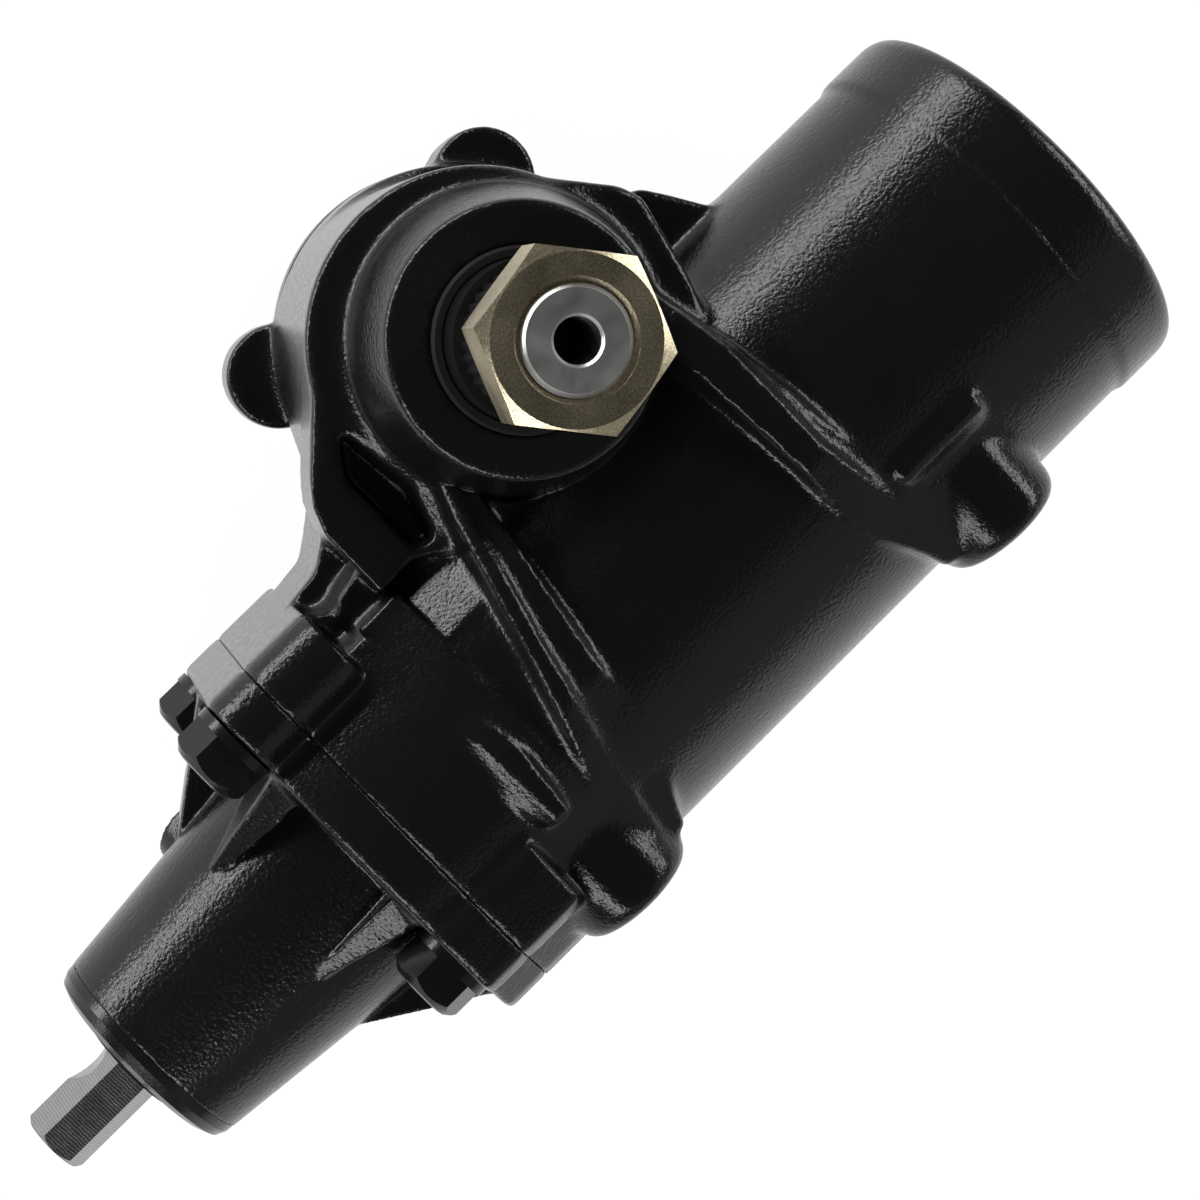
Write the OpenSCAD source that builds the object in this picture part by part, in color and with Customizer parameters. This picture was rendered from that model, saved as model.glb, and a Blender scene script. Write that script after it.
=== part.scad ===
// Integral power steering gearbox with a recirculating-ball worm, a rack piston and a sector shaft.
// Gear axes: X runs along the worm, input end at -X. The sector shaft stands along +Z.
// Sizes are millimetres. The worm axis is Y 0, Z 0 until in_frame() moves the whole gearbox.

/* [Layout] */
// Distance from the worm axis to the sector shaft axis
sector_offset = 84.5; // [83.5:0.5:86]
// X of the face where the valve housing meets the gear housing
joint_x = -119.4; // [-122:0.1:-118]
// X of the rim at the open end of the cylinder
rim_x = 157; // [154:1:162]
// Clearance between a turning or sliding piece and its bore
run_fit = 0.06; // [0.03:0.01:0.09]

/* [Cylinder] */
// Outside radius of the cast cylinder
barrel_r = 64.5; // [63:0.5:67]
// How far the end collar stands out from the cylinder
collar_step = 1.2; // [0.6:0.1:3]
// Length of the end collar along X
collar_l = 22.4; // [18:0.2:28]
// Radius of the piston bore
bore_r = 48; // [47:0.5:49]

/* [Piston and worm] */
// Module of the rack and sector teeth
tooth_module = 6.5; // [6.4:0.05:6.6]
// Teeth on a full turn of the sector pitch circle
tooth_count = 13; // [13:1:13]
// Pressure angle of the rack flanks in degrees
tooth_angle = 25; // [24:0.5:26]
// Half of the backlash, measured along the pitch line
half_backlash = 0.35; // [0.3:0.05:0.5]
// Width of the sector teeth along Z
tooth_w = 42; // [36:1:44]
// Lead of the ball track on the worm
worm_lead = 15; // [14:0.5:16]
// Outside radius of the worm
worm_r = 14; // [13.5:0.25:14.25]
// Radius of the circle through the ball centres
ball_pitch_r = 15; // [14.8:0.1:15.2]
// Radius of one ball
ball_r = 3.57; // [3.4:0.01:3.6]
// Number of balls in the track
ball_count = 30; // [18:6:36]

/* [Sector shaft] */
// Radius of the sector shaft at its bearing and seal
shaft_r = 23; // [22:0.25:23.5]
// Radius of the rear journal in the side cover
journal_r = 17; // [15:0.5:18]
// Radius of the splined part that takes the pitman arm
spline_r = 21; // [20:0.5:21.5]
// Serrations round the splined part
spline_count = 36; // [30:2:40]
// Radius of the thread under the pitman nut
thread_r = 14.7; // [14:0.1:15]
// Z of the shaft end that faces the viewer
shaft_end_z = 154.6; // [150:0.2:160]
// Size of the pitman nut across its flats
nut_af = 46; // [44:1:48]
// Thickness of the pitman nut
nut_h = 23; // [20:0.5:25]

/* [Sector housing] */
// Z of the nose face round the sector shaft
nose_z = 79.1; // [77:0.1:84]
// Radius of the nose at its face
nose_r = 39.2; // [38:0.2:41]
// Z of the shoulder below the nose
shoulder_z = 45; // [43:0.5:48]
// Radius of the shoulder round the sector axis
shoulder_r = 51.4; // [50.5:0.1:52.5]
// Radius of the flange under the side cover
cover_r = 55.5; // [55:0.5:57]
// Z of the machined face under the side cover
cover_z = -62; // [-65:0.5:-60]
// Half of the cover bolt spacing along X
cover_bolt_x = 45.2; // [44.6:0.1:47]
// Half of the cover bolt spacing along Y
cover_bolt_y = 29; // [28:0.5:31]
// Radius of the ear round a cover bolt
ear_r = 16.6; // [15:0.2:18.5]
// Length of the ears along Z
ear_h = 17; // [14:0.5:22]
// Shift of the cover bolt pattern from the sector axis along X
cover_shift_x = -3; // [-4:0.5:0]
// Shift of the cover bolt pattern from the sector axis along Y
cover_shift_y = 1.5; // [0:0.5:3]

/* [Mounting] */
// Y of the machined faces that bolt to the frame
mount_y = -64; // [-68:0.5:-63]
// X of the mounting lug next to the cylinder end
lug_right_x = 74; // [70:0.5:78]
// X of the mounting lug next to the valve end
lug_left_x = -82.7; // [-86:0.1:-80]
// Distance of the lug centres from the worm axis along Z
lug_z = 36; // [34:0.5:38]
// Radius of a mounting lug
lug_r = 21; // [18:0.5:22]
// Radius of the frame bolt thread
frame_bolt_r = 7; // [6:0.5:8]

/* [Valve housing] */
// Y of the middle of the joint flange
flange_y = 10.3; // [9:0.1:11]
// Half of the joint bolt spacing
flange_bolt = 45.3; // [44.5:0.1:46.5]
// Radius of the flange corners round the bolts
flange_corner_r = 13.7; // [13:0.1:14.5]
// Thickness of the gear housing flange
flange_t = 23.4; // [22:0.2:26]
// Thickness of the valve housing flange
valve_flange_t = 15.2; // [14:0.2:17]
// X of the seam between the valve housing and the end cap
cap_x = -218.2; // [-222:0.2:-216]
// Radius of the valve housing at the end cap
valve_end_r = 34.5; // [33:0.1:35.5]
// Radius of the valve housing next to its flange
valve_root_r = 43.4; // [42:0.1:43.5]
// Radius of the valve sleeve
sleeve_r = 22; // [21:0.25:22.5]
// Radius of the hydraulic port threads
port_r = 8; // [7:0.5:9]

/* [Input shaft] */
// Size of the input hexagon across its flats
hex_af = 19.05; // [18:0.05:20]
// X of the tip of the input shaft
tip_x = -260.5; // [-264:0.5:-258]
// Radius of the round part of the input shaft
stub_r = 10.5; // [10:0.1:10.8]
// Radius of the spool part of the input shaft
spool_r = 14; // [13.5:0.25:14.5]

/* [Hidden] */
$fn = 96;
slop = 1;
frame_shift = [-(lug_right_x + lug_left_x) / 2, -mount_y, -lug_z];
pitch_r = tooth_module * tooth_count / 2;
rack_y = sector_offset - pitch_r;
tooth_pitch = PI * tooth_module;
tooth_tip_r = pitch_r + 0.8 * tooth_module;
tooth_root_r = pitch_r - 0.97 * tooth_module;
rack_root_y = rack_y - tooth_module;
base_r = pitch_r * cos(tooth_angle);
chamber_r = tooth_tip_r + 1.75;
chamber_back_r = tooth_root_r + 2;
chamber_z = tooth_w / 2 + 3;
passage_half = 44;
wall_x = joint_x + flange_t - 2;
bearing_step_x = wall_x - 8;
plug_x = rim_x - 29;
plug_r = bore_r + 2;
plug_end_x = plug_x + 20;
snap_t = 3;
hub_r = 26;
piston_r = bore_r - run_fit;
piston_l_x = -66;
piston_r_x = 98;
piston_plug_r = 20;
piston_plug_x = 84;
ball_bore_r = ball_pitch_r + ball_r;
ball_zone = 40;
thread_zone = 51;
worm_hole_r = worm_r + 2.4;
groove_r = ball_r + 0.43;
worm_flange_r = 25;
worm_flange_x = bearing_step_x - 4;
worm_flange_t = 3;
thrust_t = 3.9;
thrust_gap = 0.1;
head_r = 13;
spigot_face_x = worm_flange_x - worm_flange_t - thrust_gap - thrust_t;
spigot_r = 33;
sleeve_x = spigot_face_x - 1;
sleeve_l_x = cap_x + 14;
head_x = sleeve_x - 10;
torsion_r = 4;
seal_bottom_z = nose_z - 16;
seal_bore_r = shaft_r + 3.4;
bearing_bore_r = shaft_r + 5;
seal_top_z = seal_bottom_z + 10;
boot_top_z = nose_z + 1.5;
shaft_step_z = nose_z + 16;
nut_z = shaft_end_z - 0.6 - nut_h;
spline_z = nut_z;
centre_hole_r = 6.2;
gasket_t = 0.8;
cover_top_z = cover_z - gasket_t;
cover_t = 12;
cover_boss_z = cover_top_z - cover_t - 6;
bushing_r = journal_r + 3;
bushing_end_z = cover_top_z - 14;
journal_end_z = bushing_end_z + 2;
adjuster_r = 6;
adjuster_end_z = cover_boss_z - 11;
locknut_h = 7;
cover_bolt_r = 5;
joint_bolt_r = 6;
bolt_head_h = 14.6;
bolt_washer_r = 13.2;
bolt_af = 22;
flange_half = flange_bolt + flange_corner_r;
flange_x = joint_x + flange_t;
valve_flange_x = joint_x - valve_flange_t;
cap_t = 7.3;
cap_end_x = cap_x - cap_t;
cap_hole_r = 16;
seal_lip_x = cap_end_x - 2.4;
oring_r = 1.5;
oring_pitch_r = 38;
port_x = -165.5;
port_end = 45;
port_depth = 17;
port_boss_r = 13;
drilling_r = 4;
bulge_r = barrel_r + 1.7;
step_r = barrel_r + 1.2;
frame_gap = 0.8;
lug_flat = 20;
pin_x = sleeve_x - 5;
pin_r = 2;
guide_z = -36;
guide_l = 48;
guide_w = 18;
guide_pipe_r = 4;
guide_hole_x = 18;
guide_hole_r = 5;

cast_colour = [0.08, 0.08, 0.09];
steel_colour = [0.62, 0.63, 0.65];
zinc_colour = [0.80, 0.66, 0.30];
rubber_colour = [0.10, 0.10, 0.10];
bronze_colour = [0.70, 0.52, 0.28];

module in_frame() {
    translate(frame_shift) children();
}

module along_x(x) {
    translate([x, 0, 0]) rotate([0, 90, 0]) children();
}

module along_y(x, y, z) {
    translate([x, y, z]) rotate([-90, 0, 0]) children();
}

module at_sector(z) {
    translate([0, sector_offset, z]) children();
}

module rod_x(x0, x1, r) {
    along_x(min(x0, x1)) cylinder(h = abs(x1 - x0), r = r);
}

module tube_x(x0, x1, r_out, r_in) {
    difference() {
        rod_x(x0, x1, r_out);
        rod_x(min(x0, x1) - slop, max(x0, x1) + slop, r_in);
    }
}

module ring_z(z0, z1, r_out, r_in) {
    at_sector(z0) difference() {
        cylinder(h = z1 - z0, r = r_out);
        translate([0, 0, -slop]) cylinder(h = z1 - z0 + 2 * slop, r = r_in);
    }
}

module hexagon(af) {
    circle(r = af / sqrt(3), $fn = 6);
}

module joint_bolts() {
    for (y = [-flange_bolt, flange_bolt], z = [-flange_bolt, flange_bolt])
        translate([0, flange_y + y, z]) children();
}

module cover_bolt_places() {
    for (x = [-cover_bolt_x, cover_bolt_x], y = [-cover_bolt_y, cover_bolt_y])
        translate([x + cover_shift_x, sector_offset + y + cover_shift_y, 0]) children();
}

// Joint flange, drawn with Y to the right and Z up: corner bosses and the bulge of the cylinder
module flange_outline() {
    translate([flange_y, 0]) {
        square([2 * flange_half, 2 * flange_bolt], center = true);
        for (y = [-flange_bolt, flange_bolt], z = [-flange_bolt, flange_bolt])
            translate([y, z]) circle(r = flange_corner_r);
    }
    intersection() {
        circle(r = bulge_r);
        translate([mount_y, -2 * bulge_r]) square([4 * bulge_r, 4 * bulge_r]);
    }
    // block round the near lower bolt
    polygon([[-49, 40], [-48.5, 56], [-44, 63.5], [-27, 66], [-22.8, 65.4], [-19.3, 62.6], [-19.3, 40]]);
    // pad that reaches the mounting plane
    polygon([[mount_y, -40], [mount_y, 26], [mount_y + 3, 32], [flange_y - flange_half, flange_bolt],
        [flange_y - flange_half + 9, 0], [flange_y - flange_half, -flange_bolt]]);
}

module flange_plate(x0, x1) {
    translate([x0, 0, 0]) rotate([90, 0, 90]) linear_extrude(height = x1 - x0) flange_outline();
}

// Plans of the sector housing in X and Y: the shoulder below the nose, and the wall behind it
module shoulder_circle() {
    translate([-5, sector_offset + 3.5]) circle(r = shoulder_r);
}

module shoulder_outline() {
    shoulder_circle();
    polygon([[-76, 57], [-62, 57], [-50, 48], [48, 46], [53, 60], [58.5, 86], [56, 93],
        [30, sector_offset + 39], [-36, sector_offset + 42], [-68, 94.5], [-73, 88], [-76, 80]]);
}

module wall_outline() {
    shoulder_circle();
    polygon([[flange_x - 2, 50], [48, 46], [53, 60], [58.5, 86], [56, 93], [30, sector_offset + 39],
        [-36, sector_offset + 42], [-57, 104], [-65, 86.5], [-74.5, 78.3], [-84.5, 71],
        [flange_x - 2, flange_y + flange_half]]);
}

// Height of the ribs along Y, from the sector nose down to the lugs
rib_line = [[90, 48], [68, 53], [56, 60], [40, 67], [16, 71], [0, 70], [-12, 66.5], [-25, 61.2], [-34, 57],
    [-48, 51.5], [-60, 46]];
// Height of the leaf shaped ridge next to the valve end lug
leaf_line = [[26, 60], [10, 66.8], [-5, 69], [-22, 68.6], [-27, 64]];

// A plan in X and Y under a height line along Y
module ridge(plan, line, drop) {
    last = len(line) - 1;
    intersection() {
        linear_extrude(height = 90) polygon(plan);
        translate([-120, 0, -drop]) rotate([90, 0, 90]) linear_extrude(height = 240)
            polygon(concat(line, [[line[last][0], 24], [line[0][0], 24]]));
    }
}

module passage_outline() {
    circle(r = chamber_back_r);
    intersection() {
        circle(r = chamber_r);
        polygon([[0, 0], [chamber_r * 2 * sin(passage_half), -chamber_r * 2 * cos(passage_half)],
            [-chamber_r * 2 * sin(passage_half), -chamber_r * 2 * cos(passage_half)]]);
    }
}

module chamber_outline() {
    circle(r = chamber_back_r);
    intersection() {
        circle(r = chamber_r);
        translate([-chamber_r, -chamber_r]) square([2 * chamber_r, chamber_r + 4]);
    }
}

module lug(x, z, deep) {
    along_y(x, mount_y, z) rotate_extrude()
        polygon([[0, 0], [lug_r - 5.5, 0], [lug_r - 2.5, 1], [lug_r - 0.8, 3], [lug_r, 6], [lug_r, deep],
            [0, deep]]);
}

// Cylinder with its end collar and a flat towards the frame
module cylinder_casting() {
    collar_r = barrel_r + collar_step;
    difference() {
        along_x(0) rotate_extrude()
            polygon([[0, flange_x - 4], [step_r, flange_x - 4], [step_r, flange_x + 22],
                [barrel_r, flange_x + 23.5], [barrel_r, rim_x - collar_l - 2], [collar_r, rim_x - collar_l],
                [collar_r, rim_x - 5], [collar_r - 1.4, rim_x - 1.4], [collar_r - 5, rim_x], [0, rim_x]]);
        translate([flange_x - 5, mount_y - barrel_r, -lug_z])
            cube([rim_x - flange_x + 10, barrel_r + frame_gap, 2 * lug_z]);
    }
}

module sector_casting() {
    translate([0, 0, -34]) linear_extrude(height = 52) wall_outline();
    translate([0, 0, cover_z + 12]) linear_extrude(height = 40) shoulder_circle();
    translate([0, 0, 14]) linear_extrude(height = shoulder_z - 14) shoulder_outline();
    at_sector(0) rotate_extrude()
        polygon([[0, 0], [nose_r + 8, 0], [nose_r + 8, shoulder_z + 0.6], [nose_r + 5.2, shoulder_z + 2.8],
            [nose_r + 3.2, shoulder_z + 6.5], [nose_r + 2, shoulder_z + 12], [nose_r + 1, shoulder_z + 21],
            [nose_r, nose_z - 0.8], [nose_r - 0.8, nose_z], [0, nose_z]]);
    // steps between the shoulder and the joint flange
    translate([0, 0, 14]) {
        linear_extrude(height = 33) polygon([[-88, 30], [-88, 54], [-74, 54], [-70, 30]]);
        linear_extrude(height = 26) polygon([[-89, 50], [-89, 60], [-86, 63.5], [-74, 66], [-74, 50]]);
        linear_extrude(height = 22) polygon([[-97, 40], [-97, 66], [-89, 61], [-74, 64], [-74, 40]]);
    }
    // flange and ears under the side cover
    at_sector(cover_z) cylinder(h = 22, r = cover_r);
    cover_bolt_places() translate([0, 0, cover_z]) cylinder(h = ear_h, r = ear_r);
    for (x = [-cover_bolt_x, cover_bolt_x])
        translate([x + cover_shift_x, sector_offset - cover_bolt_y + cover_shift_y, cover_z])
            cylinder(h = 30, r = ear_r - 2);
    // web between the sector housing and the cylinder
    translate([0, 0, -34]) linear_extrude(height = 42)
        polygon([[40, 100], [58, 89], [67, 84], [72, 77], [79, 66], [88, 58], [90, 40], [40, 40]]);
}

module mounting_casting() {
    for (x = [lug_left_x, lug_right_x]) intersection() {
        lug(x, lug_z, 46);
        translate([x - 50, mount_y - slop, 0]) cube([100, 60, lug_z + lug_flat]);
    }
    lug((lug_left_x + lug_right_x) / 2, -lug_z, 30);
    // rib from the cylinder end lug to the nose, with a low step beside it
    ridge([[27, 85], [31, 40], [33.8, 2.5], [35.3, -21.7], [39.9, -34.3], [47.2, -48], [51.1, -57], [66, -57],
        [66, -34], [50.5, -26], [44, 2.5], [43.5, 40], [41, 60], [39, 85]], rib_line, 0);
    ridge([[34, 85], [36, 40], [40, 0], [48, -22], [50.5, -23], [53, -14], [49.5, 5], [46, 40], [42, 60]],
        rib_line, 3.5);
    // rib from the valve end lug to the nose, with a lower slope towards the cylinder
    ridge([[-36, 85], [-47, 60], [-58.6, 22.5], [-71, -20.4], [-76, -34], [-76, -57], [-66, -57],
        [-62.8, -24.3], [-53.9, 17.9], [-42, 60], [-30, 85]], rib_line, 0);
    ridge([[-34, 85], [-46, 60], [-57, 18], [-68, -24], [-70, -57], [-59, -57], [-53, -40.6], [-48.5, -23.1],
        [-45.1, 8.8], [-36, 60], [-26, 85]], rib_line, 3);
    // leaf shaped ridge next to the valve end lug
    ridge([[-83.6, 24], [-79.6, 8], [-79, -1], [-81, -23], [-87, -23], [-87.5, 18]], leaf_line, 0);
    ridge([[-84.5, 22], [-87.5, 20], [-92.4, 6.7], [-91.3, -13.5], [-89, -23], [-84, -23]], leaf_line, 2.2);
    // raised edge above the cylinder end lug
    translate([55, 0, 0]) rotate([90, 0, 90]) linear_extrude(height = 33)
        polygon([[-18, 40], [-18, 61.5], [-20.5, 63.3], [-25, 63], [-30, 57], [-30, 40]]);
}

module gear_casting() {
    cylinder_casting();
    flange_plate(joint_x, flange_x);
    sector_casting();
    mounting_casting();
}

module gear_housing() color(cast_colour) in_frame() difference() {
    gear_casting();
    // piston bore, plug seat and snap ring groove
    rod_x(wall_x, plug_x + slop, bore_r);
    rod_x(plug_x, rim_x + slop, plug_r);
    rod_x(plug_end_x, plug_end_x + snap_t, plug_r + 2);
    // worm hole and thrust bearing seat
    rod_x(joint_x - slop, wall_x + slop, head_r + 6);
    rod_x(joint_x - slop, bearing_step_x, spigot_r);
    // sector chamber and the passage from the side cover
    at_sector(-chamber_z) linear_extrude(height = 2 * chamber_z) chamber_outline();
    at_sector(cover_z - slop) linear_extrude(height = -cover_z) passage_outline();
    // bearing and seal bores
    at_sector(0) cylinder(h = seal_bottom_z, r = bearing_bore_r);
    at_sector(seal_bottom_z - slop) cylinder(h = 40, r = seal_bore_r);
    // facing cut for the side cover
    translate([0, 0, cover_z - barrel_r]) linear_extrude(height = barrel_r) cover_outline();
    // pocket beside the nose
    translate([0, 0, shoulder_z - 11]) linear_extrude(height = 30)
        polygon([[-52, 99], [-60.5, 87], [-60, 59], [-53.5, 57], [-48.5, 72]]);
    // bolt threads
    cover_bolt_places() translate([0, 0, cover_z - slop]) cylinder(h = ear_h - 1, r = cover_bolt_r);
    joint_bolts() rod_x(joint_x - slop, flange_x - 2.5, joint_bolt_r);
    for (x = [lug_left_x, lug_right_x])
        along_y(x, mount_y - slop, lug_z) cylinder(h = 23, r = frame_bolt_r);
    along_y((lug_left_x + lug_right_x) / 2, mount_y - slop, -lug_z) cylinder(h = 23, r = frame_bolt_r);
}

module port_boss(turn) {
    translate([port_x, 0, 0]) rotate([turn, 0, 0]) children();
}

module side_web(y, z) {
    translate([0, 0, z - 5]) linear_extrude(height = 10)
        polygon([[valve_flange_x + 2, y], [valve_flange_x + 2, 0], [-173, 0], [-173, sign(y) * 37]]);
}

// Gusset that narrows from the flange to its tip on the cone
module gusset(y, z, tip_y, tip_z) {
    intersection() {
        translate([0, 60, 0]) rotate([90, 0, 0]) linear_extrude(height = 120)
            polygon([[valve_flange_x + 2, z], [valve_flange_x + 2, 0], [-168, 0], [-168, tip_z]]);
        linear_extrude(height = 80)
            polygon([[valve_flange_x + 2, y - 6], [valve_flange_x + 2, y + 6], [-168, tip_y + 1.5],
                [-168, tip_y - 1.5]]);
    }
}

module valve_casting() {
    rod_x(joint_x, spigot_face_x, spigot_r);
    flange_plate(valve_flange_x, joint_x);
    along_x(cap_x) cylinder(h = valve_flange_x + 2 - cap_x, r1 = valve_end_r, r2 = valve_root_r);
    gusset(36, 51, 29.5, 26);
    gusset(-14, 53, -12, 37.5);
    side_web(flange_y + flange_half - 1, -6);
    side_web(mount_y + 0.5, 4);
    for (turn = [-40, -115]) port_boss(turn) along_y(0, 0, 0) cylinder(h = port_end, r = port_boss_r);
}

module valve_housing() color(cast_colour) in_frame() difference() {
    valve_casting();
    rod_x(sleeve_l_x - 2, spigot_face_x + slop, sleeve_r + run_fit);
    rod_x(cap_x - slop, sleeve_l_x, stub_r + 8.5);
    joint_bolts() rod_x(valve_flange_x - 20, joint_x + slop, joint_bolt_r);
    // clearance for the bolt heads against the gussets
    joint_bolts() rod_x(valve_flange_x - 40, valve_flange_x, bolt_washer_r + 0.5);
    // o-ring groove in the joint face
    tube_x(joint_x - 2 * oring_r, joint_x + slop, oring_pitch_r + oring_r + 0.3,
        oring_pitch_r - oring_r - 0.3);
    for (turn = [-40, -115]) port_boss(turn) {
        along_y(0, port_end - port_depth, 0) cylinder(h = port_depth + slop, r = port_r);
        along_y(0, sleeve_r - 4, 0) cylinder(h = port_end - sleeve_r, r = drilling_r);
    }
}

module hex_bolt(head_af, head_h, washer_r, r, l) {
    cylinder(h = 3, r = washer_r);
    // hexagon with a domed end
    intersection() {
        linear_extrude(height = head_h) hexagon(head_af);
        rotate_extrude() polygon([[0, 0], [0.6 * head_af, 0], [0.6 * head_af, head_h - 0.17 * head_af],
            [0.53 * head_af, head_h - 0.1 * head_af], [0.44 * head_af, head_h - 0.02 * head_af],
            [0.37 * head_af, head_h], [0, head_h]]);
    }
    translate([0, 0, -l]) cylinder(h = l + slop, r = r);
}

module valve_housing_bolts() color(cast_colour) in_frame()
    joint_bolts() along_x(valve_flange_x) mirror([0, 0, 1]) rotate(30)
        hex_bolt(bolt_af, bolt_head_h, bolt_washer_r, joint_bolt_r, valve_flange_t + flange_t - 4);

module valve_joint_oring() color(rubber_colour) in_frame()
    along_x(joint_x - oring_r) rotate_extrude() translate([oring_pitch_r, 0]) circle(r = oring_r, $fn = 32);

module input_end_cap() color(cast_colour) in_frame() difference() {
    along_x(0) rotate_extrude()
        polygon([[0, cap_x], [valve_end_r - 0.2, cap_x], [valve_end_r - 0.4, cap_end_x + 4.5],
            [valve_end_r - 1.8, cap_end_x + 1.6], [valve_end_r - 5.5, cap_end_x], [0, cap_end_x]]);
    rod_x(cap_end_x - slop, cap_x + slop, cap_hole_r);
}

module input_seal() color(rubber_colour) in_frame()
    tube_x(seal_lip_x, cap_x, cap_hole_r, stub_r + run_fit);

module input_bearing() color(steel_colour) in_frame()
    tube_x(cap_x, cap_x + 11, stub_r + 8.5, stub_r + run_fit);

module worm_thrust_bearings() color(steel_colour) in_frame() {
    tube_x(bearing_step_x - thrust_t, bearing_step_x, spigot_r - 2, head_r + 3);
    tube_x(spigot_face_x, spigot_face_x + thrust_t, spigot_r - 2, head_r + 3);
}

module end_plug() color(cast_colour) in_frame() difference() {
    union() {
        rod_x(plug_x, plug_end_x, plug_r);
        rod_x(plug_end_x - slop, rim_x + 2, hub_r);
        along_x(rim_x + 2) cylinder(h = 1.6, r1 = hub_r, r2 = hub_r - 1.6);
    }
    tube_x(plug_x + 6, plug_x + 9, plug_r + slop, plug_r - 2.4);
    along_x(rim_x - 6) linear_extrude(height = 14) hexagon(19);
}

module end_plug_oring() color(rubber_colour) in_frame()
    tube_x(plug_x + 6, plug_x + 9, plug_r, plug_r - 2.4);

module end_plug_snap_ring() color(steel_colour) in_frame() difference() {
    tube_x(plug_end_x, plug_end_x + snap_t, plug_r + 2, plug_r - 5);
    translate([plug_end_x - slop, -7, -plug_r - 5]) cube([snap_t + 2 * slop, 14, 14]);
}

module cover_outline() {
    translate([0, sector_offset]) circle(r = cover_r);
    cover_bolt_places() circle(r = ear_r - 0.6);
}

module side_cover() color(cast_colour) in_frame() difference() {
    union() {
        translate([0, 0, cover_top_z - cover_t]) linear_extrude(height = cover_t) cover_outline();
        at_sector(cover_boss_z) cylinder(h = 20, r = bushing_r + 10);
    }
    at_sector(bushing_end_z) cylinder(h = 40, r = bushing_r);
    at_sector(cover_boss_z - slop) cylinder(h = 30, r = adjuster_r);
    cover_bolt_places() translate([0, 0, cover_top_z - cover_t - slop])
        cylinder(h = cover_t + 2 * slop, r = cover_bolt_r);
}

module side_cover_gasket() color(rubber_colour) in_frame() translate([0, 0, cover_top_z])
    linear_extrude(height = gasket_t) difference() {
        cover_outline();
        translate([0, sector_offset]) passage_outline();
        cover_bolt_places() circle(r = cover_bolt_r);
    }

module side_cover_bolts() color(steel_colour) in_frame()
    cover_bolt_places() translate([0, 0, cover_top_z - cover_t]) mirror([0, 0, 1])
        hex_bolt(15, 8.5, 10.5, cover_bolt_r, cover_t + gasket_t + ear_h - 4);

module adjuster_screw() color(steel_colour) in_frame() at_sector(adjuster_end_z) difference() {
    union() {
        cylinder(h = cover_z + 8 - adjuster_end_z, r = adjuster_r);
        translate([0, 0, cover_z + 6 - adjuster_end_z]) cylinder(h = 4, r = adjuster_r + 1.6);
    }
    translate([0, 0, -slop]) linear_extrude(height = 5) hexagon(6);
}

module adjuster_locknut() color(zinc_colour) in_frame() at_sector(cover_boss_z - locknut_h)
    linear_extrude(height = locknut_h) difference() {
        hexagon(19);
        circle(r = adjuster_r);
    }

module cover_bushing() color(bronze_colour) in_frame()
    ring_z(bushing_end_z, cover_top_z - 0.4, bushing_r, journal_r + run_fit);

module sector_bearing() color(steel_colour) in_frame()
    ring_z(chamber_z + 3, seal_bottom_z - 2, bearing_bore_r, shaft_r + run_fit);

module sector_seal() color(rubber_colour) in_frame()
    ring_z(seal_bottom_z, seal_top_z, seal_bore_r, shaft_r + run_fit);

module sector_dust_boot() color(rubber_colour) in_frame() at_sector(0) rotate_extrude()
    polygon([[shaft_r + run_fit, seal_top_z], [seal_bore_r, seal_top_z], [seal_bore_r, nose_z + 0.6],
        [seal_bore_r - 0.9, boot_top_z], [shaft_r + 0.6, boot_top_z], [shaft_r + run_fit, boot_top_z - 0.6]]);

// Half angle of a sector tooth at radius r, on an involute from the base circle
function involute(r) = let (a = acos(min(1, base_r / r))) tan(a) * 180 / PI - a;
pitch_half = (tooth_pitch / 4 - half_backlash) / pitch_r * 180 / PI;
function tooth_half(r) = pitch_half + involute(pitch_r) - involute(max(r, base_r));
tooth_radii = [for (i = [0 : 8]) tooth_root_r - 1 + (tooth_tip_r - tooth_root_r + 1) * i / 8];

module sector_tooth() {
    left = [for (r = tooth_radii) [r * sin(-tooth_half(r)), -r * cos(tooth_half(r))]];
    right = [for (i = [8 : -1 : 0]) let (r = tooth_radii[i]) [r * sin(tooth_half(r)), -r * cos(tooth_half(r))]];
    polygon(concat([[0, 0]], left, right));
}

module sector_outline() {
    circle(r = shaft_r + 2);
    intersection() {
        circle(r = tooth_root_r);
        polygon([[0, 0], [80 * sin(48), -80 * cos(48)], [-80 * sin(48), -80 * cos(48)]]);
    }
    for (i = [-1 : 1]) rotate(i * 360 / tooth_count) sector_tooth();
}

module spline_outline() {
    polygon([for (i = [0 : 2 * spline_count - 1]) let (a = 180 * i / spline_count, r = spline_r - (i % 2) * 1.1)
        [r * cos(a), r * sin(a)]]);
}

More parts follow.
